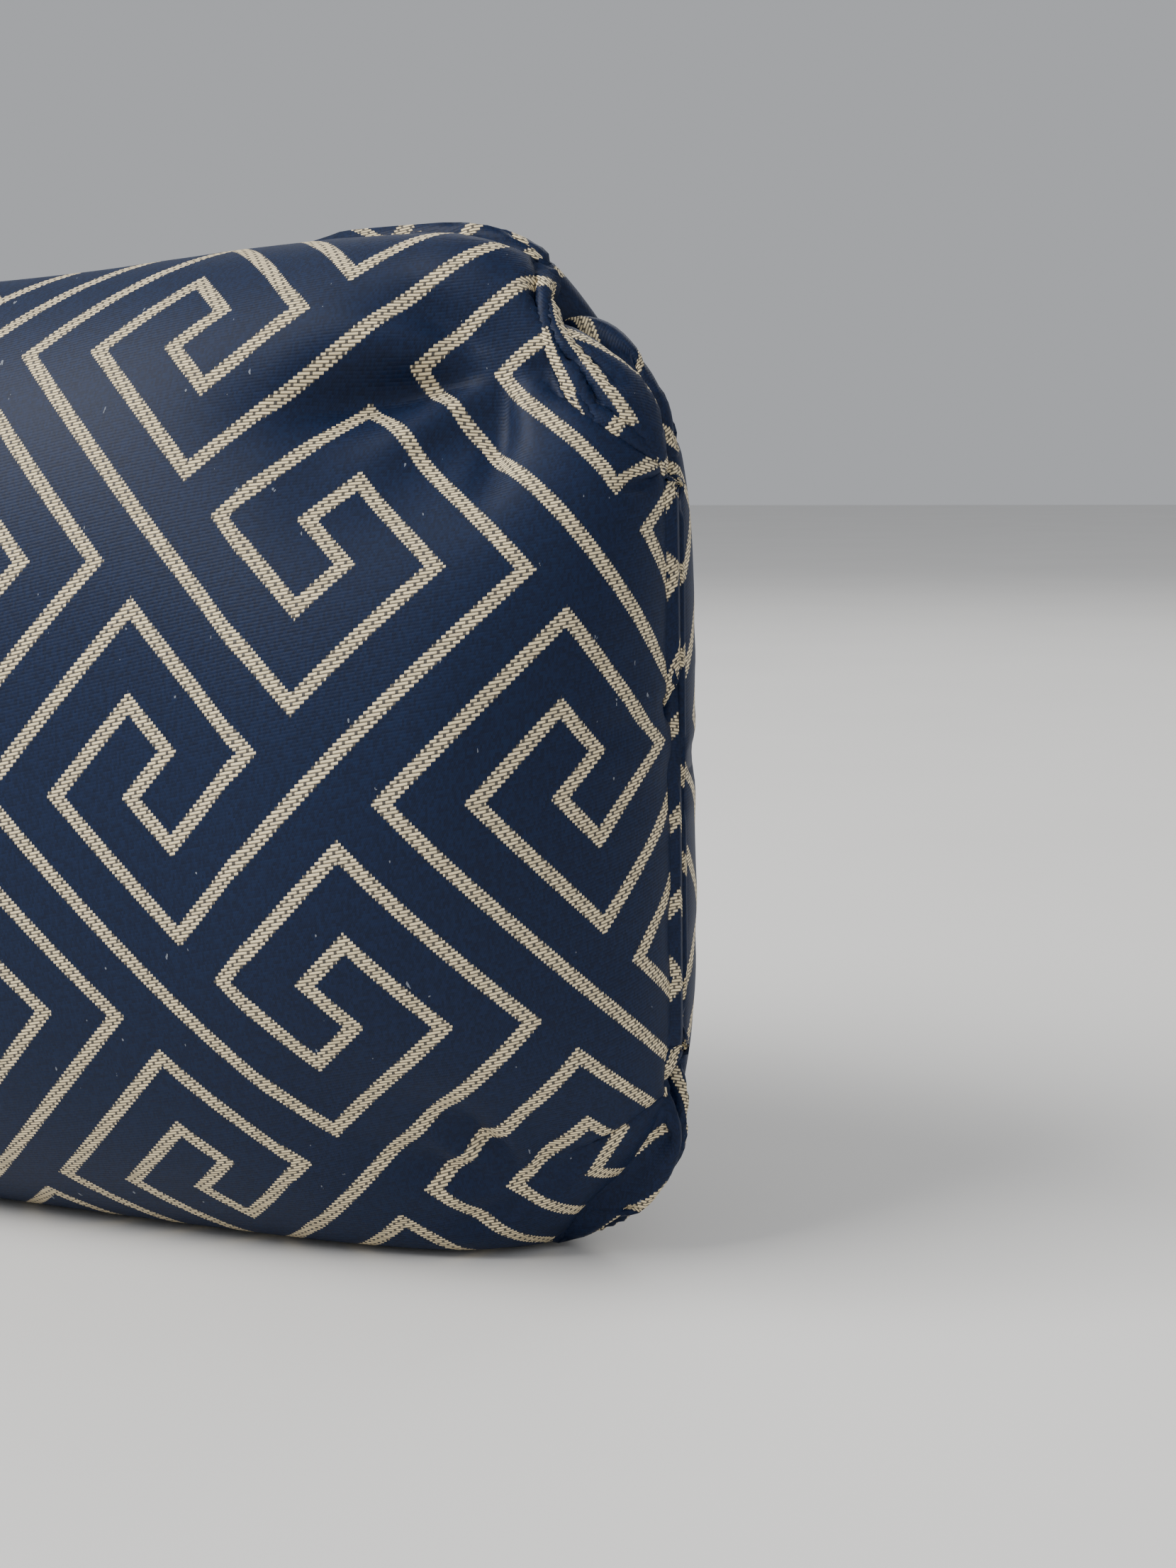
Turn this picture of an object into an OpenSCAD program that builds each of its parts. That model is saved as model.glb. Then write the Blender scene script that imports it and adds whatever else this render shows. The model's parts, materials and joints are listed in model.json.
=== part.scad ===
// Bolster pillow: a patterned cover of one front panel and two back panels, sewn
// round the outline and gathered at its four corners, with a zip across the back,
// a plain liner bag, a soft loft layer and a firm core.
// Millimetres. X runs along the bolster, -Y is the front, Z = 0 is the resting edge.

/* [Bolster] */
// Overall length, from end seam to end seam
length = 640; // [560:10:700]
// Height of the cover near its ends
end_height = 160; // [150:2:168]
// Height of the cover along its middle
mid_height = 156; // [146:2:160]
// Thickness of the cover along its middle
mid_thick = 98; // [92:2:108]
// Thickness of the cover just inside its end edges
end_thick = 88; // [80:2:92]
// How far the round underside is pressed flat by the bolster's weight
base_press = 4; // [3:0.5:5]
// Radius of the outline's corners
corner_r = 37; // [32:1:42]
// How far each gathered corner is drawn in
corner_pull = 5; // [3:1:6]
// Depth over which the cover rounds over to its end seam
edge_round = 26; // [22:1:30]
// Length over which the cover swells from its end to its middle
swell_len = 100; // [80:5:110]

/* [Layers] */
// Thickness of the cover fabric with its backing
cover_t = 1.2; // [0.8:0.1:1.4]
// Room between the cover's outside and the liner bag's outside
cover_room = 8; // [8:0.5:10]
// Thickness of the liner fabric
liner_t = 0.8; // [0.6:0.1:1.2]
// Thickness of the loft layer
loft_t = 14; // [8:1:16]
// Gap left between one layer and the next
layer_gap = 1; // [0.8:0.1:1.5]

/* [Stitching] */
// Thickness of the sewing thread
thread_d = 0.8; // [0.5:0.1:1.0]
// Distance from the outline in to the seam's thread
seam_in = 5; // [4.5:0.5:5.5]
// Distance of each gathered corner from the end, along the bolster
tie_x = 10; // [8:1:12]
// Radius of the thread bound round each gathered corner
tie_r = 0.9; // [0.7:0.1:1.0]
// Turns of thread round each gathered corner
tie_turns = 3; // [2:1:3]

/* [Zip] */
// Length of the zip's opening
zip_len = 360; // [300:10:380]
// Height of the slot that the zip closes
slot_h = 10.4; // [10:0.2:12]
// Height of each zip tape
tape_h = 8.5; // [8:0.5:9]
// Thickness of each zip tape
tape_t = 0.5; // [0.4:0.1:0.6]
// Height of one coil
coil_h = 2.2; // [2:0.1:2.6]
// Thickness of one coil
coil_t = 1.4; // [1.2:0.1:1.6]
// Clear channel between the two coils, in which the slider's post runs
coil_gap = 1.4; // [1.2:0.1:1.8]
// Pitch of the coil's turns
coil_pitch = 3; // [2.5:0.5:5]
// Length of the slider
slider_len = 10; // [9:0.5:12]
// Length of the pull tab past its pin
pull_len = 22; // [16:1:28]
// Height of the pull tab as it lies flat
pull_h = 4.6; // [4:0.2:5]

/* [Hidden] */

navy = [0.09, 0.14, 0.26];
thread_gold = [0.72, 0.64, 0.42];
tape_navy = [0.05, 0.07, 0.13];
calico = [0.87, 0.84, 0.77];
wadding = [0.93, 0.92, 0.90];
cotton = [0.86, 0.82, 0.74];
brass = [0.72, 0.60, 0.36];

around = 24;
steps = 10;
thread_sides = 6;
tip_thick = 3;
join_gap = 0.15;
half_len = length / 2;
ear = (end_height + base_press) / 2;
waist = (mid_height + base_press) / 2;
reach = edge_round + swell_len;
mid_z = waist - base_press;
big = 2 * length;

liner_in = cover_room;
loft_in = liner_in + liner_t + layer_gap;
core_in = loft_in + loft_t + layer_gap;

first_angle = 180 / around;
back_y = mid_thick / 2 * cos(first_angle);
tape_y = back_y - cover_t - 0.3;
coil_y = tape_y;
plate_t = 0.7;
run_gap = 0.25;
slider_h = 2 * coil_h + coil_gap + 2.2;
slider_top_y = coil_y + coil_t + run_gap;
slider_low_y = tape_y - tape_t - run_gap - plate_t;
post_t = coil_gap - 2 * run_gap;
slider_x = zip_len / 2 - slider_len / 2 - 5;
pin_r = 0.5;
arch_room = 2 * pin_r + 0.7;
arch_w = 1.8;
arch_len = 6;
pin_y = slider_top_y + plate_t + arch_room / 2;
arm_t = 0.9;
stop_len = 2;
stop_t = 0.7;
stitch_d = 0.5;
stitch_len = 3;
stitch_pitch = 12;

// A smooth step from 0 to 1, and the distance from the end of each ring of points.
function ease(t) = let (u = min(max(t, 0), 1)) u * u * (3 - 2 * u);
function ring_depth(j) = reach * pow(j / steps, 2);

// Half the thickness and half the height of the outline, at depth d from the end.
function half_thick(d) = let (round = sqrt(1 - pow(1 - min(d / edge_round, 1), 2)))
    max(tip_thick / 2, round * (end_thick + (mid_thick - end_thick) * ease((d - edge_round) / swell_len)) / 2);
function half_high(d) = let (inner = corner_r - min(d, corner_r))
    ear - corner_r + sqrt(corner_r * corner_r - inner * inner)
    - corner_pull * exp(-pow((d - tie_x) / tie_x, 2))
    - (ear - waist) * ease((d - corner_r) / swell_len);

// Where a layer that is inset from the cover's outside has its section at depth d.
function layer_x(d, inset) = (half_len - d) * (half_len - inset) / half_len;
function layer_y(d, inset) = half_thick(d) * (mid_thick / 2 - inset) / (mid_thick / 2);
function layer_z(d, inset) = half_high(d) * (waist - inset) / waist;
function middle_z(d) = mid_z + (half_high(max(d, corner_r)) - waist) * (waist - base_press) / waist;

// One ring of a layer's points round the X axis; 0 is the back and 90 is the crown.
function ring_angle(i) = (i + 0.5) * 360 / around;
function ring(side, d, inset) = [for (i = [0:around - 1]) let (a = ring_angle(i))
    [side * layer_x(d, inset), layer_y(d, inset) * cos(a),
     max(inset, middle_z(d) + layer_z(d, inset) * sin(a))]];

function flat(rings) = [for (points = rings, p = points) p];

// The two triangles of each patch between ring i and ring k.
function band(i, k, size) = [for (j = [0:size - 1]) let (n = (j + 1) % size)
    each [[i * size + j, k * size + j, k * size + n], [i * size + j, k * size + n, i * size + n]]];

// A closed layer, from the cap at one end, through its rings, to the cap at the other.
module closed_body(inset) {
    rings = concat(
        [for (j = [0:steps]) ring(-1, ring_depth(j), inset)],
        [for (j = [steps:-1:0]) ring(1, ring_depth(j), inset)]);
    last = (len(rings) - 1) * around;
    polyhedron(points = flat(rings),
        faces = concat(
            [[for (j = [0:around - 1]) j]],
            [for (i = [0:len(rings) - 2]) each band(i, i + 1, around)],
            [[for (j = [around - 1:-1:0]) last + j]]));
}

module hollow_body(inset, wall) {
    difference() {
        closed_body(inset);
        closed_body(inset + wall);
    }
}

// The half of a hollow layer on one side of the seam's plane: -1 is the front.
module panel(inset, wall, side) {
    intersection() {
        hollow_body(inset, wall);
        translate([-big / 2, side < 0 ? -big - join_gap : join_gap, -big / 2]) cube(big);
    }
}

// The slot that the zip closes, and the line past its ends where the back panels meet.
module back_opening() {
    translate([-zip_len / 2, 0, mid_z - slot_h / 2]) cube([zip_len, mid_thick, slot_h]);
    translate([-length, 0, mid_z - join_gap]) cube([2 * length, mid_thick, 2 * join_gap]);
}

// A point of the seam's line, in its plane: over the top one way and back below.
function seam_point(side, up, d, inset) = let (m = middle_z(d))
    [side * layer_x(d, inset), max(inset, m + up * layer_z(d, inset))];
function seam_line(inset) = concat(
    [for (j = [0:steps]) seam_point(-1, 1, ring_depth(j), inset)],
    [for (j = [steps:-1:0]) seam_point(1, 1, ring_depth(j), inset)],
    [for (j = [0:steps]) seam_point(1, -1, ring_depth(j), inset)],
    [for (j = [steps:-1:0]) seam_point(-1, -1, ring_depth(j), inset)]);

// A thread that follows the seam's line, as a thin closed tube.
module seam_tube(inset) {
    line = seam_line(inset);
    count = len(line);
    function across(i) = let (run = line[(i + 1) % count] - line[(i + count - 1) % count])
        [-run.y, run.x] / norm(run);
    polyhedron(
        points = [for (i = [0:count - 1], k = [0:thread_sides - 1])
            let (turn = 360 * k / thread_sides, r = thread_d / 2)
            [line[i].x + across(i).x * r * cos(turn), r * sin(turn),
             line[i].y + across(i).y * r * cos(turn)]],
        faces = [for (i = [0:count - 1]) each band(i, (i + 1) % count, thread_sides)]);
}

module cover_front() {
    color(navy) panel(0, cover_t, -1);
}

module cover_back_upper() {
    color(navy) difference() {
        intersection() {
            panel(0, cover_t, 1);
            translate([-big / 2, -big / 2, mid_z]) cube(big);
        }
        back_opening();
    }
}

module cover_back_lower() {
    color(navy) difference() {
        intersection() {
            panel(0, cover_t, 1);
            translate([-big / 2, -big / 2, mid_z - big]) cube(big);
        }
        back_opening();
    }
}

module seam_thread() {
    color(thread_gold) seam_tube(seam_in);
}

// Thread bound round the bundle of pleats at each corner, inside the cover.
tie_in = seam_in + 1.2;
module corner_tie(up) {
    d = tie_x;
    translate([half_len - d - tie_in / sqrt(2), 0,
        middle_z(d) + up * (half_high(d) - tie_in / sqrt(2))])
        rotate([0, 90 + up * 45, 0])
            for (turn = [0:tie_turns - 1])
                translate([0, 0, (turn - (tie_turns - 1) / 2) * thread_d])
                    rotate_extrude($fn = 32) translate([tie_r, 0]) circle(d = thread_d - 0.05, $fn = 16);
}

module corner_ties_right() {
    color(thread_gold)
        for (up = [-1, 1])
            corner_tie(up);
}

module corner_ties_left() {
    color(thread_gold) mirror([1, 0, 0]) corner_ties_right();
}

// One half of the zip, above the channel.
module zip_tape_upper() {
    color(tape_navy) translate([-zip_len / 2, tape_y - tape_t, mid_z + coil_gap / 2])
        cube([zip_len, tape_t, tape_h]);
}

module zip_tape_lower() {
    color(tape_navy) translate([-zip_len / 2, tape_y - tape_t, mid_z - coil_gap / 2 - tape_h])
        cube([zip_len, tape_t, tape_h]);
}

// A coil: a core strip with a raised turn at each pitch.
module zip_coil(low_z) {
    strip_t = coil_t / 2;
    translate([-zip_len / 2, coil_y, low_z]) cube([zip_len, strip_t, coil_h]);
    for (x = [-zip_len / 2 + coil_pitch:coil_pitch:zip_len / 2 - coil_pitch])
        translate([x - coil_pitch / 4, coil_y, low_z]) cube([coil_pitch / 2, coil_t, coil_h]);
}

module zip_coil_upper() {
    color(tape_navy) zip_coil(mid_z + coil_gap / 2);
}

module zip_coil_lower() {
    color(tape_navy) zip_coil(mid_z - coil_gap / 2 - coil_h);
}

// The row of topstitches that holds a tape behind the edge of the cover's slot.
module zip_stitches(row_z) {
    for (x = [-zip_len / 2 + stitch_pitch:stitch_pitch:zip_len / 2 - stitch_pitch])
        translate([x - stitch_len / 2, back_y + stitch_d / 2, row_z]) rotate([0, 90, 0])
            cylinder(h = stitch_len, d = stitch_d, $fn = 16);
}

module zip_stitch_upper() {
    color(thread_gold) zip_stitches(mid_z + slot_h / 2 + 2.5);
}

module zip_stitch_lower() {
    color(thread_gold) zip_stitches(mid_z - slot_h / 2 - 2.5);
}

// Stops sit on the coils, past each end of the slider's travel.
module zip_stop(x, height_z) {
    translate([x, coil_y + coil_t, mid_z - height_z / 2]) cube([stop_len, stop_t, height_z]);
}

module zip_top_stop() {
    color(brass) zip_stop(zip_len / 2 - stop_len - 1, 2 * coil_h + coil_gap);
}

module zip_bottom_stop() {
    color(brass) zip_stop(-zip_len / 2 + 1, 2 * coil_h + coil_gap);
}

// Two plates joined by a post that runs between the coils, with an arch for the pull.
module zip_slider() {
    low_x = slider_x - slider_len / 2;
    color(brass) {
        translate([low_x, slider_top_y, mid_z - slider_h / 2]) cube([slider_len, plate_t, slider_h]);
        translate([low_x, slider_low_y, mid_z - slider_h / 2]) cube([slider_len, plate_t, slider_h]);
        translate([slider_x + slider_len / 2 - 3, slider_low_y, mid_z - post_t / 2])
            cube([3, slider_top_y - slider_low_y + plate_t, post_t]);
        for (side = [-1, 1])
            translate([slider_x + side * (arch_len - 1) / 2 - 0.5, slider_top_y + plate_t,
                mid_z - arch_w / 2])
                cube([1, arch_room, arch_w]);
        translate([slider_x - arch_len / 2, slider_top_y + plate_t + arch_room, mid_z - arch_w / 2])
            cube([arch_len, 0.8, arch_w]);
    }
}

// The pull tab: a pin under the arch, an arm each side of it and a flat tab.
module zip_pull_tab() {
    arm_reach = 6;
    slot_half = arch_w / 2 + run_gap;
    color(brass) difference() {
        union() {
            translate([slider_x, pin_y, mid_z - pull_h / 2]) cylinder(h = pull_h, r = pin_r, $fn = 32);
            for (low = [-pull_h / 2, slot_half])
                translate([slider_x - arm_reach, pin_y - arm_t / 2, mid_z + low])
                    cube([arm_reach, arm_t, pull_h / 2 - slot_half]);
            translate([slider_x - pull_len, pin_y - arm_t / 2, mid_z - pull_h / 2])
                cube([pull_len - arm_reach, arm_t, pull_h]);
        }
        translate([slider_x - pull_len + 3, pin_y + 2, mid_z]) rotate([90, 0, 0])
            cylinder(h = 4, r = 1.2, $fn = 32);
    }
}

module liner_front() {
    color(calico) panel(liner_in, liner_t, -1);
}

module liner_back() {
    color(calico) panel(liner_in, liner_t, 1);
}

module liner_thread() {
    color(calico) seam_tube(liner_in - 1);
}

module loft_layer() {
    color(wadding) hollow_body(loft_in, loft_t);
}

module fill_core() {
    color(cotton) closed_body(core_in);
}

cover_front();
cover_back_upper();
cover_back_lower();
seam_thread();
corner_ties_right();
corner_ties_left();
zip_tape_upper();
zip_tape_lower();
zip_coil_upper();
zip_coil_lower();
zip_stitch_upper();
zip_stitch_lower();
zip_top_stop();
zip_bottom_stop();
zip_slider();
zip_pull_tab();
liner_front();
liner_back();
liner_thread();
loft_layer();
fill_core();
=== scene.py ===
import json
import math

import bpy
import numpy as np
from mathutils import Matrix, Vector


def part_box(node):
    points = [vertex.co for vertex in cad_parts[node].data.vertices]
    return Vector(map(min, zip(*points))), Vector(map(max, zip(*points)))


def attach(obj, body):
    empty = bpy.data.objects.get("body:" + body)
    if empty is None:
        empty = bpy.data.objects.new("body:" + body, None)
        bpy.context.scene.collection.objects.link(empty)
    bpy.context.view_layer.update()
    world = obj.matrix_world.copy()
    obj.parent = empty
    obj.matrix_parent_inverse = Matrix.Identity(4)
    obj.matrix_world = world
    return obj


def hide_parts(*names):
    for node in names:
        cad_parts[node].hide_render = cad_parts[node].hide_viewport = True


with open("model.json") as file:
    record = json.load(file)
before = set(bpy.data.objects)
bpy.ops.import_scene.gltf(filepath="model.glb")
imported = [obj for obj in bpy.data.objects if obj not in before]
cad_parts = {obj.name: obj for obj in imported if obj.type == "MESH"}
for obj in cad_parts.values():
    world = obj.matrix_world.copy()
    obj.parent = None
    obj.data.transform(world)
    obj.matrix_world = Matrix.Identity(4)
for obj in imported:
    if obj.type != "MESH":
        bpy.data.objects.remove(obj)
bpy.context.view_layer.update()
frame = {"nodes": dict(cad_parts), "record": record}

MM = 0.001
front_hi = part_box("cover_front")[1]
back_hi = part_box("cover_back_upper")[1]
tape_lo, tape_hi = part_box("zip_tape_upper")

# The bolster's shape, in metres, with the same measures as part.scad.
HALF_LEN = front_hi.x
CORNER_R = 0.037
CORNER_PULL = 0.005  # how far the ties draw the outline in
TIE_X = 0.010  # from the end to where the ties draw it in most
PRESS = 0.004  # how far the underside is flattened
EAR = 0.082  # half height at the ends, before the press
WAIST = 0.080  # half height in the middle, before the press
MID_Z = WAIST - PRESS
EDGE_ROUND = 0.026
SWELL = 0.100  # length over which the ends grow into the middle
END_THICK = 0.088
MID_THICK = 0.098
ZIP_HALF = (tape_hi.x - tape_lo.x) / 2
SLOT_HALF = 0.0052  # half height of the opening behind the zip

# The cloth of each panel. A key of 1 stands for the top of the panel and -1 for its bottom.
SEAM_INSET = 0.0045  # from the outline of the CAD to the seam
TURN_IN = 0.003  # cloth added to the cut height, which turns in at the seam
TOP_DRAW = 0.0035  # how far the long top edge sags between the ends
DRAW_FROM, DRAW_RUN = 0.045, 0.06  # where the sag starts, from the end, and its length
CORNER_INSET = {1: 0.0085, -1: 0.0030}  # how far the gathers draw the corner in
CORNER_REACH = 0.017
DIMPLE = {1: 0.66, -1: 0.45}  # part of the depth that is lost at the gather
DIMPLE_R = 0.025
GATHERS = {1: (HALF_LEN - 0.0230, 0.1382), -1: (HALF_LEN - 0.0185, 0.0135)}
END_GATHER, LONG_GATHER = 0.026, 0.032  # length of seam that takes up the extra cloth
CLOTH = 0.0009  # thickness
CELL = 0.0015  # grid spacing near the ends and over the height
WIDE_CELL = 0.0045  # grid spacing along the middle
FINE_END = 0.085  # length of the finely spaced ends
PERIOD = 0.0625  # repeat of the fret along the bolster
PERIOD_V = 0.0652  # and down it
SEAM_Y = 0.0005  # from the seam's plane to the cloth's edge


def ease(t):
    """A smooth step from 0 to 1."""
    t = np.clip(t, 0, 1)
    return t * t * (3 - 2 * t)


def half_thick(d):
    """Half thickness at d from the end."""
    d = np.maximum(d, 0)
    over = np.sqrt(1 - (1 - np.minimum(d / EDGE_ROUND, 1)) ** 2)
    return over * (END_THICK + (MID_THICK - END_THICK) * ease((d - EDGE_ROUND) / SWELL)) / 2


def half_high(d):
    """Half height at d from the end, with the rounded corners and their ties."""
    d = np.maximum(d, 0)
    inner = CORNER_R - np.minimum(d, CORNER_R)
    return (EAR - CORNER_R + np.sqrt(CORNER_R ** 2 - inner ** 2)
            - CORNER_PULL * np.exp(-((d - TIE_X) / TIE_X) ** 2)
            - (EAR - WAIST) * ease((d - CORNER_R) / SWELL))


def middle_z(d):
    """Height of the section's middle at d from the end."""
    base = half_high(np.maximum(d, CORNER_R))
    return MID_Z + (base - WAIST)


def depth_of(x, z, inset=0.0):
    """How far the filling reaches from the seam's plane at x, z."""
    d = HALF_LEN - np.abs(x) - inset
    high = np.maximum(half_high(d) - inset, 1e-4)
    q = np.clip((z - middle_z(d)) / high, -1, 1)
    full = half_thick(d) * np.sqrt(1 - q * q) * (d > 0)
    for up, (gx, gz) in GATHERS.items():
        near = np.hypot(np.abs(x) - gx, z - gz) / DIMPLE_R
        full = full * (1 - DIMPLE[up] * np.exp(-near ** 2))
    return full


def outline(up, inset):
    """Half of the top or bottom seam, from the middle of the end edge to x = 0: its points,
    its arc length and the arc length at the corner."""
    rise = np.linspace(0, EAR - CORNER_R, 40)[:-1]
    d = HALF_LEN * np.linspace(0, 1, 1600) ** 2
    x = np.concatenate([np.full(rise.shape, HALF_LEN), HALF_LEN - d])
    z = np.concatenate([up * rise + middle_z(0.0), middle_z(d) + up * half_high(d)])
    if up > 0:
        z -= TOP_DRAW * ease((HALF_LEN - x - DRAW_FROM) / DRAW_RUN)
    z = np.maximum(z, 0.0)
    s = np.concatenate([[0], np.cumsum(np.hypot(np.diff(x), np.diff(z)))])
    mark = np.argmin(np.abs((HALF_LEN - x) - (EAR - np.abs(z - middle_z(0.0)))))
    inset = inset + CORNER_INSET[up] * np.exp(-((s - s[mark]) / CORNER_REACH) ** 2)
    tx, tz = np.gradient(x), np.gradient(z)
    size = np.hypot(tx, tz) + 1e-12
    x, z = x - up * tz / size * inset, z + up * tx / size * inset
    s = np.concatenate([[0], np.cumsum(np.hypot(np.diff(x), np.diff(z)))])
    return x, np.maximum(z, CLOTH), s, s[mark]


def gather(cut, seam, width):
    """Where each point of a cut edge lands on the seam, from the edge's middle outwards."""
    s = np.linspace(0, seam, 400)
    t = np.clip((s - (seam - width)) / width, 0, 1)
    f = s + (cut - seam) * t ** 2
    return lambda q: np.interp(q, f, s)


def arc_table(depth, high, steps=2000):
    """Arc length round an elliptical section, against its angle."""
    a = np.linspace(0, math.pi / 2, steps)
    step = np.hypot(np.diff(depth * np.cos(a)), np.diff(high * np.sin(a)))
    return np.concatenate([[0], np.cumsum(step)]), a


def profile_table(steps=3000):
    """Arc length along the front's middle line, against x."""
    d = HALF_LEN * np.linspace(1, 0, steps) ** 1.5
    y = half_thick(d)
    s = np.concatenate([[0], np.cumsum(np.hypot(np.diff(d), np.diff(y)))])
    return s, HALF_LEN - d


def spacing(half):
    """Cut positions along the panel, close together near both ends."""
    fine = int(round(FINE_END / CELL))
    wide = int(round((half - FINE_END) / WIDE_CELL))
    ends = np.linspace(half - FINE_END, half, fine + 1)
    mid = np.linspace(0, half - FINE_END, wide + 1)
    right = np.concatenate([mid[:-1], ends])
    return np.concatenate([-right[:0:-1], right])


PROFILE_S, PROFILE_X = profile_table()
SECTION_S, SECTION_A = arc_table(MID_THICK / 2, WAIST)
# Half length and half height of a panel as cut, a little less than over the filling.
CUT_U = PROFILE_S[-1] - 0.001
CUT_V = SECTION_S[-1] * 0.965 + TURN_IN


def boundary(us, vs):
    """Seam positions (x, z) of the panel's four edges."""
    tx, tz, ts, tc = outline(1, SEAM_INSET)
    bx, bz, bs, bc = outline(-1, SEAM_INSET)
    end_x, end_z = np.zeros_like(vs), np.zeros_like(vs)
    for up, (x, z, s, c) in ((1, (tx, tz, ts, tc)), (-1, (bx, bz, bs, bc))):
        pick = vs * up >= 0
        at = gather(CUT_V, c, END_GATHER)(np.abs(vs[pick]))
        end_x[pick], end_z[pick] = np.interp(at, s, x), np.interp(at, s, z)
    edges = []
    for x, z, s, c in ((tx, tz, ts, tc), (bx, bz, bs, bc)):
        at = s[-1] - gather(CUT_U, s[-1] - c, LONG_GATHER)(np.abs(us))
        edges.append((np.sign(us) * np.interp(at, s, x), np.interp(at, s, z)))
    return (end_x, end_z), edges[0], edges[1]


BLEND_U = 0.075


def lay_out(us, vs, side):
    """First positions of a panel's cloth: over the filling, with its edges on the seam."""
    (ex, ez), (tx, tz), (bx, bz) = boundary(us, vs)
    reach_u = np.abs(us) / CUT_U * PROFILE_S[-1]
    x0 = np.sign(us) * np.interp(reach_u, PROFILE_S, PROFILE_X)
    angle = np.interp(np.abs(vs) / CUT_V * SECTION_S[-1], SECTION_S, SECTION_A)
    z0 = MID_Z + WAIST * np.sign(vs) * np.sin(angle)
    # The edges are moved onto the seam, and the cloth inside them follows less and less.
    a = np.clip((np.abs(us) - (CUT_U - BLEND_U)) / BLEND_U, 0, 1)
    b = np.clip((np.abs(vs) - 0.25 * CUT_V) / (0.75 * CUT_V), 0, 1)
    wa, wb = (a ** 1.5)[:, None], (b ** 1.5)[None, :]
    sign_u, up = np.sign(us)[:, None], (vs > 0)[None, :]
    x = np.repeat(x0[:, None], len(vs), 1)
    z = np.repeat(z0[None, :], len(us), 0)
    end_dx = sign_u * (ex - HALF_LEN)[None, :]
    end_dz = (ez - z0)[None, :]
    long_dx = np.where(up, (tx - x0)[:, None], (bx - x0)[:, None])
    long_dz = np.where(up, (tz - (MID_Z + WAIST))[:, None], (bz - (MID_Z - WAIST))[:, None])
    corner_dx = sign_u * np.where(up, ex[-1] - HALF_LEN, ex[0] - HALF_LEN)
    corner_dz = np.where(up, ez[-1] - (MID_Z + WAIST), ez[0] - (MID_Z - WAIST))
    x = x + wa * end_dx + wb * long_dx - wa * wb * corner_dx
    z = z + wa * end_dz + wb * long_dz - wa * wb * corner_dz
    y = side * (depth_of(x, z) + SEAM_Y)
    p = np.stack([x, y, z], -1)
    p[0, :, 1] = p[-1, :, 1] = p[:, 0, 1] = p[:, -1, 1] = side * SEAM_Y
    return p


def pull(p, w, rest, axis, step, stretch, squeeze):
    """Moves points that are step apart along one axis of the grid towards their rest length.

    w is how freely each point moves; stretch and squeeze are the part of a gap that is too
    long or too short which is taken up in one go.
    """
    q, m, r = (np.swapaxes(t, 0, axis) for t in (p, w, rest))
    count = q.shape[0] - step
    order = np.arange(count)
    for turn in (0, 1):
        i = order[(order // step) % 2 == turn]
        k = i + step
        gap = q[k] - q[i]
        size = np.sqrt((gap ** 2).sum(-1)) + 1e-9
        off = size - r[i]
        give = squeeze if np.isscalar(squeeze) else np.swapaxes(squeeze, 0, axis)[i]
        off = np.where(off > 0, off * stretch, off * give) / size
        both = m[i] + m[k] + 1e-9
        q[i] += gap * (off * m[i] / both)[..., None]
        q[k] -= gap * (off * m[k] / both)[..., None]


def shear(p, w, rest, hold):
    """Keeps the cloth's two diagonals near their rest length."""
    for flip in (False, True):
        q, m, r = (t[:, ::-1] if flip else t for t in (p, w, rest))
        for turn in (0, 1):
            i = slice(turn, q.shape[0] - 1, 2)
            k = slice(turn + 1, q.shape[0], 2)
            n = len(range(*i.indices(q.shape[0])))
            gap = q[k, 1:][:n] - q[i, :-1]
            size = np.sqrt((gap ** 2).sum(-1)) + 1e-9
            off = (size - r[i, :-1][:n]) * hold / size
            both = m[i, :-1] + m[k, 1:][:n] + 1e-9
            q[i, :-1] += gap * (off * m[i, :-1] / both)[..., None]
            q[k, 1:][:n] -= gap * (off * m[k, 1:][:n] / both)[..., None]


# Folds that run in from each gathered corner. Each has the angle below the long way to the
# bolster's middle in degrees, its half width in degrees, its height in mm and its run in mm.
TOP_FOLDS = [(-42, 7, -4.2, 18), (-17, 10, 3.4, 27), (10, 10, -8.0, 31), (40, 12, 3.4, 24),
             (74, 8, -1.5, 16), (97, 8, -6.5, 17), (125, 10, 1.5, 14)]
LOW_FOLDS = [(-30, 9, -2.0, 14), (-5, 10, 1.2, 20), (20, 9, -2.0, 22), (38, 8, 1.8, 20),
             (58, 9, -5.0, 18), (85, 10, 2.4, 16), (112, 9, -2.5, 12)]
FOLD_AT, FOLD_FADE = 0.45, 0.42  # the highest place along a fold and its spread, of its run
PLEAT = 0.0048  # from one small pleat to the next
PLEAT_HIGH, PLEAT_DEEP, PLEAT_REACH = 0.0018, 0.009, 0.042


def folds(p, side):
    """Height of the folds that run in from the four gathered corners, over a panel's points."""
    out = np.zeros(p.shape[:2])
    for up, shape in ((1, TOP_FOLDS), (-1, LOW_FOLDS)):
        gx, gz = GATHERS[up]
        for right in (-1, 1):
            inward = gx - p[..., 0] * right
            down = (gz - p[..., 2]) * up
            reach = np.hypot(inward, down)
            angle = np.degrees(np.arctan2(down, inward))
            # The corners that the photograph does not show have the same folds, turned.
            seen = right > 0 and side < 0
            turn = 0.0 if seen else 7.0 * right + 5.0 * up + 4.0 * side
            for at, wide, deep, far in shape:
                bump = np.exp(-((angle - at - turn) / wide) ** 2)
                run = reach / (far * MM)
                out += bump * deep * MM * np.exp(-((run - FOLD_AT) / FOLD_FADE) ** 2)
    return out


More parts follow.
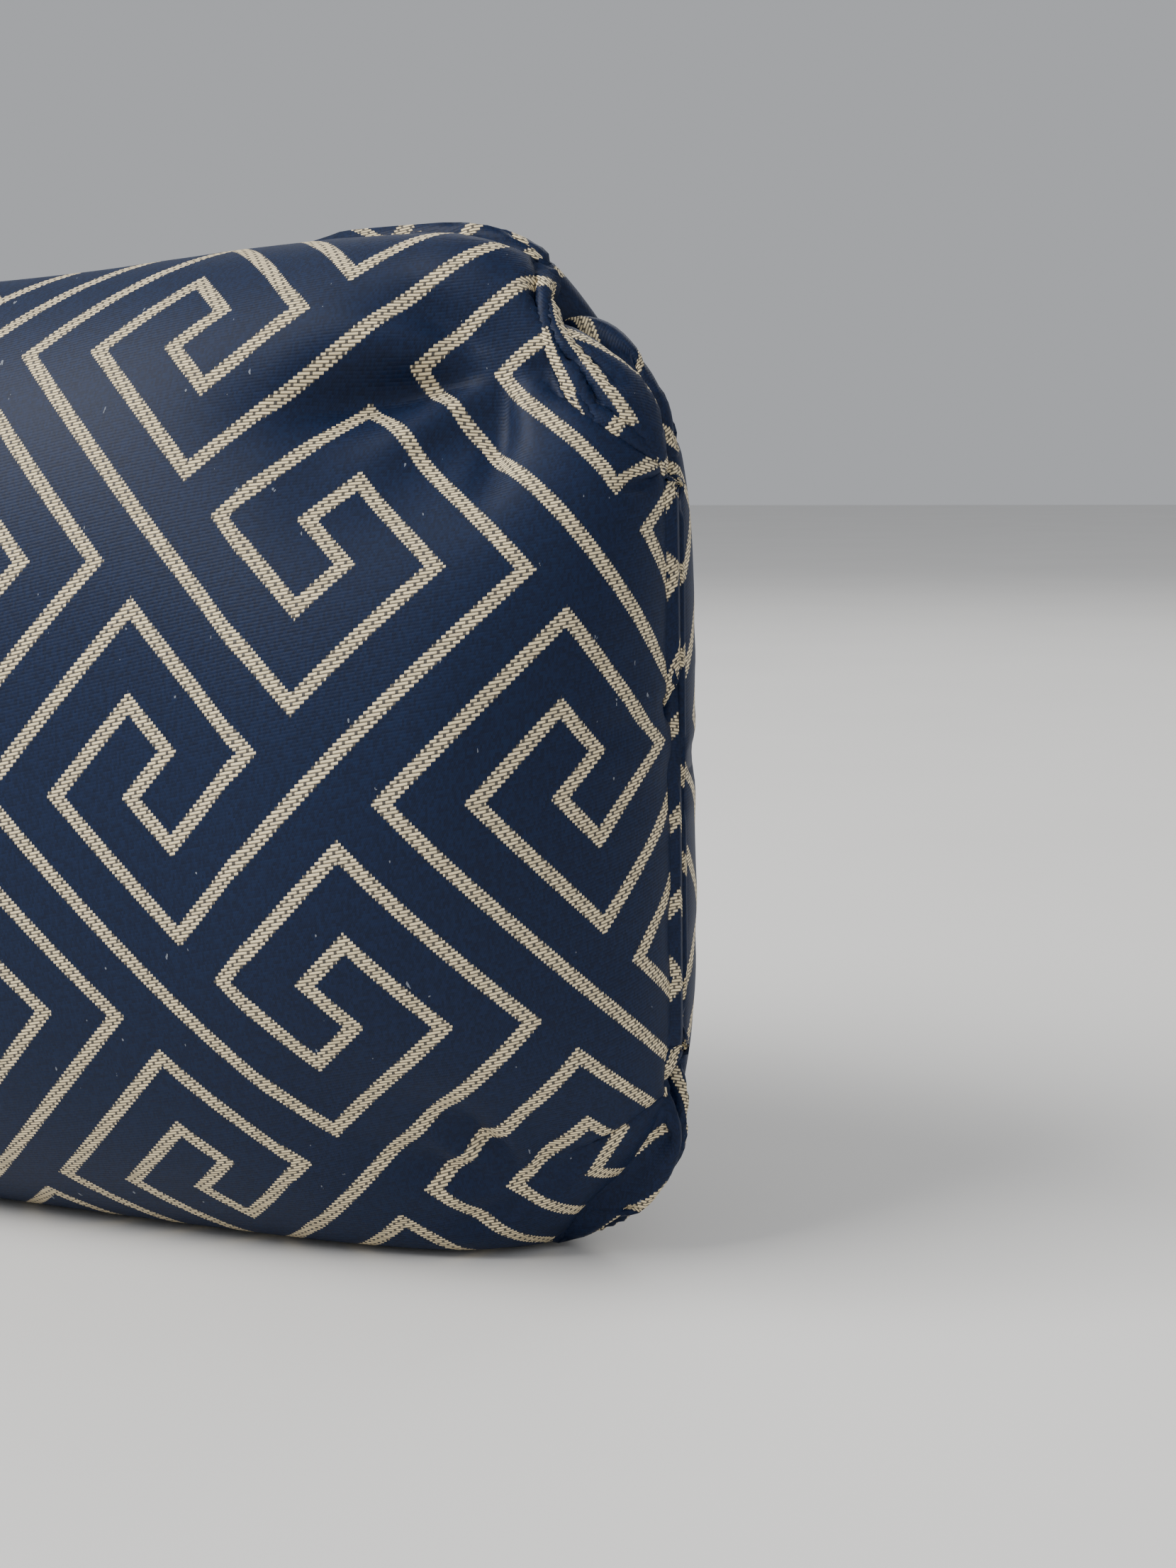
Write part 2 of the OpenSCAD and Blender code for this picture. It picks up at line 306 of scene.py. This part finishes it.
def pleats(us, vs):
    """Height of the small pleats along the seam beside the gathered corners."""
    end = (CUT_U - np.abs(us))[:, None]
    edge = (CUT_V - np.abs(vs))[None, :]
    reach = np.hypot(end, edge)
    rim = np.minimum(end, edge)
    fine = np.cos(2 * math.pi * reach / PLEAT)
    return (PLEAT_HIGH * fine * np.exp(-(rim / PLEAT_DEEP) ** 2)
            * np.exp(-(reach / PLEAT_REACH) ** 4))


# How the cloth settles.
PRESSURE = 0.000012  # push outwards, square to the cloth, in each step
RIM_PRESSURE = 0.00004  # and as much more beside the seam
MOMENTUM, LATE_MOMENTUM, LATE = 0.80, 0.3, 0.7
ROUGH = 0.0012  # unevenness at the start, beside the corners
FOLD_PART = 0.8  # part of the folds' height that is laid in before, and again after
SHEAR_HOLD = 0.12
BEND_HOLD = 0.10
FILL_INSET = 0.004
ZIP_BAND, ZIP_END = 0.009, 0.006  # the cloth held still round the zip
LOOSE, LOOSE_CORNER = 0.0012, 0.0030  # how far the cloth may stand off the filling
LEAST_Y = 0.0006


def relax(us, vs, side, steps, seed):
    """Lets one panel's cloth settle over the filling, pressed outwards.

    It folds where it is gathered: the folds are laid in first and again at the end.
    """
    p = lay_out(us, vs, side)
    nu, nv = len(us), len(vs)
    w = np.ones((nu, nv))
    w[0, :] = w[-1, :] = 0
    w[:, 0] = w[:, -1] = 0
    if side > 0:
        near = ((np.abs(p[..., 2] - MID_Z) < ZIP_BAND)
                & (np.abs(p[..., 0]) < ZIP_HALF + ZIP_END))
        w[near] = 0
        p[near, 1] = back_hi.y
    # Rest lengths: to the next point along each axis, to the one after it, and across.
    du, dv = np.diff(us), np.diff(vs)
    ru = np.repeat(np.append(du, du[-1])[:, None], nv, 1)
    rv = np.repeat(np.append(dv, dv[-1])[None, :], nu, 0)
    ru2 = ru + np.concatenate([ru[1:], ru[-1:]], 0)
    rv2 = rv + np.concatenate([rv[:, 1:], rv[:, -1:]], 1)
    rd = np.hypot(ru, rv)
    rng = np.random.default_rng(seed)
    rough = rng.normal(size=(nu, nv))
    for _ in range(3):
        rough[1:-1, 1:-1] = (rough[:-2, 1:-1] + rough[2:, 1:-1] + rough[1:-1, :-2]
                             + rough[1:-1, 2:]) / 4
    rough /= np.abs(rough).max()
    end = CUT_U - np.abs(us)[:, None]
    edge = CUT_V - np.abs(vs)[None, :]
    near_corner = np.exp(-(np.hypot(end, edge) / 0.045) ** 2)
    p[..., 1] += side * rough * near_corner * w * ROUGH
    p[..., 1] += side * w * (pleats(us, vs) + FOLD_PART * folds(p, side))
    rim = np.exp(-(np.minimum(end, edge) / 0.015) ** 2)
    firm = 0.12 + 0.83 * np.exp(-(np.hypot(end, edge) / 0.055) ** 4)
    soft = 0.003 + 0.016 * near_corner
    before = p.copy()
    for step in range(steps):
        late = step / steps
        keep = MOMENTUM if late < LATE else LATE_MOMENTUM
        move = (p - before) * keep
        before = p.copy()
        p += move * w[..., None]
        gu = np.gradient(p, axis=0)
        gv = np.gradient(p, axis=1)
        n = np.cross(gu, gv) * side
        n *= -1.0 / (np.sqrt((n ** 2).sum(-1)) + 1e-12)[..., None]
        flip = np.sign((n[..., 1] * side).sum())
        push = (PRESSURE + RIM_PRESSURE * rim) * (1 - 0.5 * late)
        p += n * (flip * push * w)[..., None]
        for _ in range(2):
            pull(p, w, ru, 0, 1, 1.0, firm)
            pull(p, w, rv, 1, 1, 1.0, firm)
        shear(p, w, rd, SHEAR_HOLD)
        pull(p, w, ru2, 0, 2, 0.0, BEND_HOLD)
        pull(p, w, rv2, 1, 2, 0.0, BEND_HOLD)
        # The filling holds the cloth up, and the cloth stays close to it and above the floor.
        fill = depth_of(p[..., 0], p[..., 2], FILL_INSET) - soft
        y = p[..., 1] * side
        y = np.where(y < fill, y + 0.5 * (fill - y), y)
        most = depth_of(p[..., 0], p[..., 2]) + LOOSE + LOOSE_CORNER * near_corner
        y = np.where(y > most, y + 0.6 * (most - y), y)
        y = np.maximum(y, LEAST_Y)
        p[..., 1] = np.where(w > 0, side * y, p[..., 1])
        p[..., 0] = np.clip(p[..., 0], -HALF_LEN - 0.001, HALF_LEN + 0.001)
        d = HALF_LEN - np.abs(p[..., 0])
        drawn = TOP_DRAW * ease((d - DRAW_FROM) / DRAW_RUN) * (side > 0)
        p[..., 2] = np.minimum(p[..., 2], middle_z(d) + half_high(d) + 0.0015 - drawn)
        p[..., 2] = np.maximum(p[..., 2], CLOTH)
    p += n * (flip * w * FOLD_PART * folds(p, side))[..., None]
    for _ in range(6):
        pull(p, w, ru, 0, 1, 0.5, 0.3)
        pull(p, w, rv, 1, 1, 0.5, 0.3)
    p[..., 1] = side * np.maximum(p[..., 1] * side, SEAM_Y)
    p[..., 2] = np.maximum(p[..., 2], CLOTH)
    for _ in range(2):
        mean = (p[:-2, 1:-1] + p[2:, 1:-1] + p[1:-1, :-2] + p[1:-1, 2:]) / 4
        part = p[1:-1, 1:-1]
        part += 0.25 * (mean - part) * w[1:-1, 1:-1, None]
    return p


US = spacing(CUT_U)
VS = np.linspace(-CUT_V, CUT_V, 2 * int(round(CUT_V / CELL)) + 1)
STEPS = 420


# ---- Materials -------------------------------------------------------------


class Nodes:
    """Builds a material's shader from small steps."""

    def __init__(self, name):
        self.mat = bpy.data.materials.new(name)
        self.mat.use_nodes = True
        self.tree = self.mat.node_tree
        self.shader = self.tree.nodes["Principled BSDF"]

    def put(self, socket, value):
        if isinstance(value, bpy.types.NodeSocket):
            self.tree.links.new(value, socket)
        else:
            socket.default_value = value

    def math(self, op, a, b=0.0, c=0.0):
        n = self.tree.nodes.new("ShaderNodeMath")
        n.operation = op
        for k, v in enumerate((a, b, c)):
            self.put(n.inputs[k], v)
        return n.outputs[0]

    def vec(self, op, a, b=(0, 0, 0), c=(0, 0, 0)):
        n = self.tree.nodes.new("ShaderNodeVectorMath")
        n.operation = op
        for k, v in enumerate((a, b, c)):
            self.put(n.inputs[k], v)
        return n.outputs[0]

    def split(self, v):
        n = self.tree.nodes.new("ShaderNodeSeparateXYZ")
        self.put(n.inputs[0], v)
        return n.outputs

    def join(self, x, y, z=0.0):
        n = self.tree.nodes.new("ShaderNodeCombineXYZ")
        for k, v in enumerate((x, y, z)):
            self.put(n.inputs[k], v)
        return n.outputs[0]

    def mix(self, t, a, b):
        n = self.tree.nodes.new("ShaderNodeMix")
        n.data_type = "RGBA"
        self.put(n.inputs[0], t)
        self.put(n.inputs[6], a)
        self.put(n.inputs[7], b)
        return n.outputs[2]

    def noise(self, v, scale, detail=2.0):
        n = self.tree.nodes.new("ShaderNodeTexNoise")
        self.put(n.inputs["Vector"], v)
        self.put(n.inputs["Scale"], scale)
        self.put(n.inputs["Detail"], detail)
        return n.outputs["Fac"]

    def white(self, v):
        n = self.tree.nodes.new("ShaderNodeTexWhiteNoise")
        n.noise_dimensions = "3D"
        self.put(n.inputs["Vector"], v)
        return n.outputs["Value"]

    def attribute(self, name):
        n = self.tree.nodes.new("ShaderNodeAttribute")
        n.attribute_name = name
        return n.outputs["Vector"]

    def place(self):
        n = self.tree.nodes.new("ShaderNodeTexCoord")
        return n.outputs["Object"]

    def bump(self, height, strength, distance):
        n = self.tree.nodes.new("ShaderNodeBump")
        self.put(n.inputs["Strength"], strength)
        self.put(n.inputs["Distance"], distance)
        self.put(n.inputs["Height"], height)
        self.put(self.shader.inputs["Normal"], n.outputs[0])

    def set(self, **values):
        names = {"color": "Base Color", "rough": "Roughness", "metal": "Metallic",
                 "sheen": "Sheen Weight", "sheen_rough": "Sheen Roughness",
                 "sheen_tint": "Sheen Tint", "spec": "Specular IOR Level"}
        for key, value in values.items():
            self.put(self.shader.inputs[names[key]], value)
        return self.mat


# One fretwork figure of the cloth, as a path on the cloth's lattice.
FRET = [(0, 0), (-4, 0), (-4, -3), (-2, -3), (-2, -2), (-3, -2), (-3, -1), (-1, -1), (-1, -4),
        (-9, -4), (-9, 0), (-6, 0), (-6, -2), (-7, -2), (-7, -1), (-8, -1), (-8, -3), (-5, -3),
        (-5, 5)]
LATTICE = 5  # steps of the lattice in one repeat; the figure comes back every two on each axis
LINE_HALF = 0.120  # half width of the fret's line, in steps of the lattice
PICK = 0.5  # height of one row of thread, in mm
FLOAT_LEN = 2.3  # length of one gold float, in mm
TILT = 0.20  # slant of the rows
SLIT = 0.19  # part of a float that goes under
TWILL = 0.30  # from one line of the ground's twill to the next, in mm
LINT_LEVEL = 0.735  # the noise above this is lint


def brocade(name):
    """Navy satin ground with a fret of gold floats, in the cloth's own coordinates in mm."""
    m = Nodes(name)
    x, s, _ = m.split(m.attribute("cloth"))
    level = m.math("DIVIDE", m.math("MULTIPLY_ADD", x, TILT, s), PICK)
    row = m.math("FLOOR", level)
    across = m.math("FRACT", level)
    s_row = m.math("SUBTRACT", m.math("MULTIPLY", m.math("ADD", row, 0.5), PICK),
                   m.math("MULTIPLY", x, TILT))
    pu = m.math("MULTIPLY", x, LATTICE / (PERIOD / MM))
    pv = m.math("MULTIPLY", s_row, LATTICE / (PERIOD_V / MM))
    spot = m.join(m.math("ADD", pu, pv), m.math("SUBTRACT", pu, pv))
    least = 9.0  # more than any distance on the lattice
    for shift in (0, LATTICE):
        for (ax, ay), (bx, by) in zip(FRET[:-1], FRET[1:]):
            centre = ((ax + bx) / 2 + shift, (ay + by) / 2 + shift, 0)
            half = (abs(ax - bx) / 2 + LINE_HALF, abs(ay - by) / 2 + LINE_HALF, 0)
            gap = m.vec("SUBTRACT", spot, centre)
            gap = m.vec("ABSOLUTE", m.vec("WRAP", gap, (LATTICE,) * 3, (-LATTICE,) * 3))
            gx, gy, _ = m.split(m.vec("SUBTRACT", gap, half))
            least = m.math("MINIMUM", least, m.math("MAXIMUM", gx, gy))
    gold = m.math("LESS_THAN", least, 0.0)

    # Floats: bricks one pick high with a dark slit where each goes under, and painted shade
    # that darkens each row of floats towards its edges.
    along = m.math("ADD", m.math("DIVIDE", x, FLOAT_LEN), m.math("MULTIPLY", row, 0.37))
    brick = m.math("FLOOR", along)
    slit = m.math("LESS_THAN", m.math("FRACT", along), SLIT)
    belly = m.math("SINE", m.math("MULTIPLY", across, math.pi))
    shade = m.white(m.join(row, brick, 3.0))
    # Painted shade: each float's colour falls to the dark colour at the edges of its row,
    # between the rows.
    float_tone_and_shade = m.math("MULTIPLY", belly, m.math("MULTIPLY_ADD", shade, 0.35, 0.80))
    float_tone_and_shade = m.math("MULTIPLY", float_tone_and_shade, m.math("SUBTRACT", 1.0, m.math("MULTIPLY", slit, 0.9)))
    floats = m.mix(float_tone_and_shade, (0.020, 0.022, 0.030, 1), (1.0, 0.83, 0.52, 1))

    # Ground: a fine steep twill, with a little colour drift and stray lint.
    twill = m.math("FRACT", m.math("DIVIDE", m.math("MULTIPLY_ADD", s, 0.55, x), TWILL))
    grain = m.white(m.join(m.math("FLOOR", m.math("DIVIDE", x, TWILL)), row, 7.0))
    tone = m.math("ADD", m.math("MULTIPLY", twill, 0.35), m.math("MULTIPLY", grain, 0.45))
    ground = m.mix(tone, (0.0005, 0.0036, 0.017, 1), (0.0046, 0.0180, 0.064, 1))
    lint = m.noise(m.join(x, m.math("MULTIPLY", s, 0.45)), 0.75, 3.0)
    lint = m.math("GREATER_THAN", lint, LINT_LEVEL)
    ground = m.mix(m.math("MULTIPLY", lint, 0.5), ground, (0.35, 0.38, 0.42, 1))
    color = m.mix(gold, ground, floats)
    height = m.math("MULTIPLY", belly, m.math("SUBTRACT", 1.0, m.math("MULTIPLY", slit, 0.6)))
    m.bump(height, m.math("MULTIPLY_ADD", gold, 0.55, 0.14), 0.00025)
    rough = m.math("MULTIPLY_ADD", gold, -0.10, 0.58)
    return m.set(color=color, rough=rough, sheen=0.02, sheen_rough=0.45,
                 sheen_tint=(0.55, 0.68, 0.9, 1), spec=0.22)


def plain_cloth(name, dark, light, weave):
    """A plain woven cloth: two sets of crossing threads, weave metres apart."""
    m = Nodes(name)
    x, y, z = m.split(m.place())
    a = m.math("SINE", m.math("MULTIPLY", m.math("ADD", x, y), 2 * math.pi / weave))
    b = m.math("SINE", m.math("MULTIPLY", z, 2 * math.pi / weave))
    tone = m.math("MULTIPLY_ADD", m.math("MULTIPLY", a, b), 0.25, 0.6)
    m.bump(m.math("MULTIPLY", a, b), 0.4, 0.0002)
    return m.set(color=m.mix(tone, dark, light), rough=0.85, sheen=0.25)


def fluff(name, dark, light):
    """Loose fibres."""
    m = Nodes(name)
    tone = m.noise(m.place(), 60.0, 6.0)
    m.bump(m.noise(m.place(), 300.0, 4.0), 0.6, 0.002)
    return m.set(color=m.mix(tone, dark, light), rough=0.95, sheen=0.5)


def thread(name, dark, light):
    """Twisted thread."""
    m = Nodes(name)
    x, y, z = m.split(m.place())
    twist = m.math("SINE", m.math("MULTIPLY", m.math("ADD", m.math("ADD", x, z), y), 6000.0))
    m.bump(twist, 0.5, 0.0002)
    return m.set(color=m.mix(m.math("MULTIPLY_ADD", twist, 0.3, 0.5), dark, light), rough=0.6)


def metal(name, dark, light):
    """Brushed brass, a little tarnished."""
    m = Nodes(name)
    tone = m.noise(m.place(), 900.0, 4.0)
    rough = m.math("MULTIPLY_ADD", m.noise(m.place(), 500.0, 3.0), 0.25, 0.22)
    return m.set(color=m.mix(tone, dark, light), rough=rough, metal=1.0)


def nylon(name, dark, light):
    """Moulded plastic."""
    m = Nodes(name)
    tone = m.noise(m.place(), 800.0, 2.0)
    return m.set(color=m.mix(tone, dark, light), rough=0.4, spec=0.5)


SLOTS = {
    "brocade": brocade("brocade"),
    "thread": thread("thread", (0.22, 0.17, 0.08, 1), (0.62, 0.52, 0.30, 1)),
    "zip_tape": plain_cloth("zip_tape", (0.004, 0.007, 0.016, 1), (0.014, 0.022, 0.045, 1),
                            0.0006),
    "zip_coil": nylon("zip_coil", (0.004, 0.007, 0.016, 1), (0.012, 0.02, 0.04, 1)),
    "zip_metal": metal("zip_metal", (0.35, 0.24, 0.10, 1), (0.70, 0.52, 0.26, 1)),
    "calico": plain_cloth("calico", (0.58, 0.52, 0.42, 1), (0.78, 0.73, 0.62, 1), 0.0008),
    "wadding": fluff("wadding", (0.70, 0.69, 0.66, 1), (0.90, 0.89, 0.86, 1)),
    "cotton": fluff("cotton", (0.52, 0.46, 0.35, 1), (0.78, 0.72, 0.60, 1)),
}


def dress(obj, slot):
    """Gives the object the material of a slot."""
    obj.data.materials.clear()
    obj.data.materials.append(SLOTS[slot])


# ---- The cloth's meshes ----------------------------------------------------
# Where the fret's first corner falls on the front, from the middle of the cut panel, and how
# far the back's pattern is moved from the front's, in mm.
PATTERN_U = 0.3043
PATTERN_V = 0.0317
BACK_SHIFT_X, BACK_SHIFT_S = 17.0, 9.0


def apply_all(obj):
    """Turns the object's modifiers into its mesh."""
    dg = bpy.context.evaluated_depsgraph_get()
    done = bpy.data.meshes.new_from_object(obj.evaluated_get(dg))
    obj.modifiers.clear()
    obj.data = done


def cloth_piece(name, p, cloth, keep, nodes):
    """A panel as a mesh with its thickness; keep says which squares of the grid it has."""
    nu, nv = p.shape[:2]
    at = np.arange(nu * nv).reshape(nu, nv)
    quads = np.stack([at[:-1, :-1], at[1:, :-1], at[1:, 1:], at[:-1, 1:]], -1)
    quads = quads[keep].reshape(-1, 4)
    if p[..., 1].mean() > 0:
        quads = quads[:, ::-1]
    used, quads = np.unique(quads, return_inverse=True)
    quads = quads.reshape(-1, 4)
    mesh = bpy.data.meshes.new(name)
    mesh.from_pydata(p.reshape(-1, 3)[used].tolist(), [], quads.tolist())
    layer = mesh.attributes.new("cloth", "FLOAT_VECTOR", "POINT")
    layer.data.foreach_set("vector", cloth.reshape(-1, 3)[used].astype(np.float32).ravel())
    mesh.polygons.foreach_set("use_smooth", [True] * len(mesh.polygons))
    obj = bpy.data.objects.new(name, mesh)
    bpy.context.scene.collection.objects.link(obj)
    shell = obj.modifiers.new("shell", "SOLIDIFY")
    shell.thickness = CLOTH
    shell.offset = -1
    apply_all(obj)
    dress(obj, "brocade")
    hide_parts(*nodes)
    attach(obj, "bolster")
    return obj


def cloth_coords(us, vs, side):
    """The cloth's own coordinates in mm, from the fret's first corner, down positive."""
    x = (us - PATTERN_U) / MM
    s = (PATTERN_V - vs) / MM
    if side > 0:
        x, s = -x + BACK_SHIFT_X, s + BACK_SHIFT_S
    grid = np.zeros((len(us), len(vs), 3))
    grid[..., 0] = x[:, None]
    grid[..., 1] = s[None, :]
    return grid


front = relax(US, VS, -1, STEPS, 7)
every = np.ones((len(US) - 1, len(VS) - 1), bool)
cloth_piece("cover_front_cloth", front, cloth_coords(US, VS, -1), every, ["cover_front"])

back = relax(US, VS, 1, STEPS, 11)
mid_x = (back[:-1, :-1, 0] + back[1:, 1:, 0]) / 2
mid_z = (back[:-1, :-1, 2] + back[1:, 1:, 2]) / 2
slot_hole = (np.abs(mid_x) < ZIP_HALF) & (np.abs(mid_z - MID_Z) < SLOT_HALF)
is_upper = np.zeros_like(every)
is_upper[:, len(VS) // 2:] = True
back_cloth = cloth_coords(US, VS, 1)
cloth_piece("cover_back_upper_cloth", back, back_cloth, is_upper & ~slot_hole,
            ["cover_back_upper"])
cloth_piece("cover_back_lower_cloth", back, back_cloth, ~is_upper & ~slot_hole,
            ["cover_back_lower"])


# ---- What the cover holds --------------------------------------------------
END_GAP = 0.002  # kept free at each end, beside the inset
INNER_DIMPLE, INNER_DIMPLE_R = 0.75, 0.036
LINER_CLOTH = 0.0008
LINER_GAP = 0.0002  # from the seam's plane to each half of the liner


def filled_shape(name, inset, lump, seed, node_names, slot, side=0):
    """A soft body, inset from the cover, with a lumpy surface.

    It is closed and solid, or the front (-1) or back (1) half of it as a cloth bag.
    """
    around, along = 56, 90  # points round a section, and sections
    t = np.linspace(0, math.pi, along)[1:-1]
    x = -np.cos(t) * (HALF_LEN - inset - END_GAP)
    d = HALF_LEN - np.abs(x) * HALF_LEN / (HALF_LEN - inset)
    angle = np.linspace(0, 2 * math.pi, around, endpoint=False)
    if side:
        angle = np.linspace(0, math.pi, around)
    rng = np.random.default_rng(seed)
    rough = rng.normal(size=(len(x), around))
    for _ in range(4):
        rough = (rough + np.roll(rough, 1, 0) + np.roll(rough, -1, 0) + np.roll(rough, 1, 1)
                 + np.roll(rough, -1, 1)) / 5
    rough = 1 - lump * np.abs(rough / np.abs(rough).max())
    y = (half_thick(d) * (MID_THICK / 2 - inset) / (MID_THICK / 2))[:, None] * np.sin(angle)
    z = (half_high(d) * (WAIST - inset) / WAIST)[:, None] * np.cos(angle)
    for up, (gx, gz) in GATHERS.items():
        near = np.hypot(np.abs(x)[:, None] - gx, middle_z(d)[:, None] + z - gz)
        y = y * (1 - INNER_DIMPLE * np.exp(-(near / INNER_DIMPLE_R) ** 2))
    sign = side if side else 1
    pts = np.stack([np.repeat(x[:, None], around, 1), sign * y * rough,
                    np.maximum(middle_z(d)[:, None] + z * rough, inset)], -1)
    if side:
        pts[..., 1] += sign * LINER_GAP
    n = len(x)
    at = np.arange(n * around).reshape(n, around)
    nxt = np.roll(at, -1, 1)
    cols = slice(None) if not side else slice(0, around - 1)
    quads = np.stack([at[:-1, cols], at[1:, cols], nxt[1:, cols], nxt[:-1, cols]], -1)
    quads = quads.reshape(-1, 4)
    if sign > 0:
        quads = quads[:, ::-1]
    faces = quads.tolist()
    if not side:
        faces += [at[0][::-1].tolist() if sign > 0 else at[0].tolist(),
                  at[-1].tolist() if sign > 0 else at[-1][::-1].tolist()]
    mesh = bpy.data.meshes.new(name)
    mesh.from_pydata(pts.reshape(-1, 3).tolist(), [], faces)
    mesh.polygons.foreach_set("use_smooth", [True] * len(mesh.polygons))
    obj = bpy.data.objects.new(name, mesh)
    bpy.context.scene.collection.objects.link(obj)
    if side:
        shell = obj.modifiers.new("shell", "SOLIDIFY")
        shell.thickness = LINER_CLOTH
        shell.offset = -1
        apply_all(obj)
    dress(obj, slot)
    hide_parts(*node_names)
    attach(obj, "bolster")
    return obj


filled_shape("liner_front_cloth", 0.0190, 0.03, 3, ["liner_front"], "calico", -1)
filled_shape("liner_back_cloth", 0.0190, 0.03, 4, ["liner_back"], "calico", 1)
filled_shape("loft_wadding", 0.0220, 0.05, 5, ["loft_layer"], "wadding")
filled_shape("core_filling", 0.0350, 0.12, 6, ["fill_core"], "cotton")


# ---- Threads ---------------------------------------------------------------
def thread_piece(name, loops, radius, nodes):
    """Sewing thread along closed loops of points."""
    curve = bpy.data.curves.new(name, "CURVE")
    curve.dimensions = "3D"
    curve.bevel_depth = radius
    curve.bevel_resolution = 2
    for loop in loops:
        spline = curve.splines.new("POLY")
        spline.points.add(len(loop) - 1)
        for point, at in zip(spline.points, loop):
            point.co = (*at, 1.0)
        spline.use_cyclic_u = True
    made = bpy.data.objects.new(name + "_line", curve)
    bpy.context.scene.collection.objects.link(made)
    dg = bpy.context.evaluated_depsgraph_get()
    mesh = bpy.data.meshes.new_from_object(made.evaluated_get(dg))
    bpy.data.objects.remove(made)
    obj = bpy.data.objects.new(name, mesh)
    bpy.context.scene.collection.objects.link(obj)
    dress(obj, "thread")
    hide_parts(*nodes)
    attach(obj, "bolster")
    return obj


SEAM_R = 0.0003  # radii of the threads
TIE_R = 0.0004
LOOP_R = 0.0011  # radius of the loops that tie a corner
LOOP_BACK, LOOP_STEP = -0.0035, 0.0008  # the loops' place from the gather, along the corner
rim_line = np.concatenate([front[:-1, 0], front[-1, :-1], front[:0:-1, -1], front[0, :0:-1]])
rim_line[:, 1] = 0.0
thread_piece("seam_stitches", [rim_line.tolist()], SEAM_R, ["seam_thread"])
for right, node in ((1, "corner_ties_right"), (-1, "corner_ties_left")):
    loops = []
    for up in (1, -1):
        gx, gz = GATHERS[up]
        lean = np.array([right * math.sqrt(0.5), 0, up * math.sqrt(0.5)])
        across = np.array([-right * math.sqrt(0.5), 0, up * math.sqrt(0.5)])
        for turn in (-1, 0, 1):
            centre = np.array([right * gx, 0, gz]) + lean * (LOOP_BACK + LOOP_STEP * turn)
            ring = np.linspace(0, 2 * math.pi, 24, endpoint=False)
            round_at = [math.cos(a) * across + math.sin(a) * np.array([0, 1, 0]) for a in ring]
            loops.append([(centre + LOOP_R * at).tolist() for at in round_at])
    thread_piece(node + "_bound", loops, TIE_R, [node])

slot_of = {part["node"]: part["material_slot"] for part in frame["record"]["subparts"]}
for node, obj in frame["nodes"].items():
    if not obj.hide_render:
        dress(obj, slot_of[node])


# ---- Stage, lights and camera ----------------------------------------------
def flat_color(name, rgb, rough):
    """A pale, slightly uneven surface."""
    m = Nodes(name)
    tone = m.noise(m.place(), 9.0, 4.0)
    color = m.mix(tone, tuple(0.93 * c for c in rgb) + (1,), tuple(rgb) + (1,))
    return m.set(color=color, rough=rough)


def panel_mesh(name, corners, mat):
    """A flat piece of the stage."""
    mesh = bpy.data.meshes.new(name)
    mesh.from_pydata(corners, [], [(0, 1, 2, 3)])
    obj = bpy.data.objects.new(name, mesh)
    bpy.context.scene.collection.objects.link(obj)
    mesh.materials.append(mat)
    return obj


FAR = 4.0  # half the width of the floor
panel_mesh("floor", [(-FAR, -FAR, 0), (FAR, -FAR, 0), (FAR, FAR, 0), (-FAR, FAR, 0)],
           flat_color("floor", (0.80, 0.79, 0.77), 0.9))


def soft_light(name, place, aim, size, power, tint):
    """A rectangular lamp that looks at a point."""
    lamp = bpy.data.lights.new(name, "AREA")
    lamp.shape = "RECTANGLE"
    lamp.size, lamp.size_y = size
    lamp.energy = power
    lamp.color = tint
    obj = bpy.data.objects.new(name, lamp)
    bpy.context.scene.collection.objects.link(obj)
    obj.location = place
    obj.rotation_euler = (Vector(aim) - Vector(place)).to_track_quat("-Z", "Y").to_euler()


# Power in watts: the key lamp is over the front, and the others fill the end and the back.
end_at = (HALF_LEN - 0.05, 0.0, 0.08)
soft_light("key", (-0.45, -0.75, 1.15), end_at, (0.9, 0.7), 30.0, (1.0, 0.99, 0.97))
soft_light("side", (1.3, -0.8, 0.9), end_at, (1.0, 1.0), 4.0, (0.95, 0.97, 1.0))
soft_light("rear", (0.2, 1.1, 1.0), end_at, (1.2, 0.8), 6.0, (1.0, 0.99, 0.97))

world = bpy.data.worlds.new("room")
world.use_nodes = True
sky = world.node_tree.nodes["Background"]
sky.inputs["Color"].default_value = (0.86, 0.88, 0.92, 1)
sky.inputs["Strength"].default_value = 0.50
bpy.context.scene.world = world

# The photograph's view: place in metres, angles in degrees, lens and sensor in mm.
CAMERA_AT = (HALF_LEN + 0.1344, -0.3300, 0.1279)
YAW, PITCH, ROLL = 24.25, -8.29, 0.74
LENS = 54.1
SENSOR = 36.0

cam = bpy.data.cameras.new("camera")
cam.lens = LENS
cam.sensor_width = SENSOR
cam.clip_start = 0.01
cam.clip_end = 50.0
camera = bpy.data.objects.new("camera", cam)
bpy.context.scene.collection.objects.link(camera)
camera.location = CAMERA_AT
camera.rotation_euler = (math.radians(90 + PITCH), math.radians(ROLL), math.radians(YAW))
bpy.context.scene.camera = camera
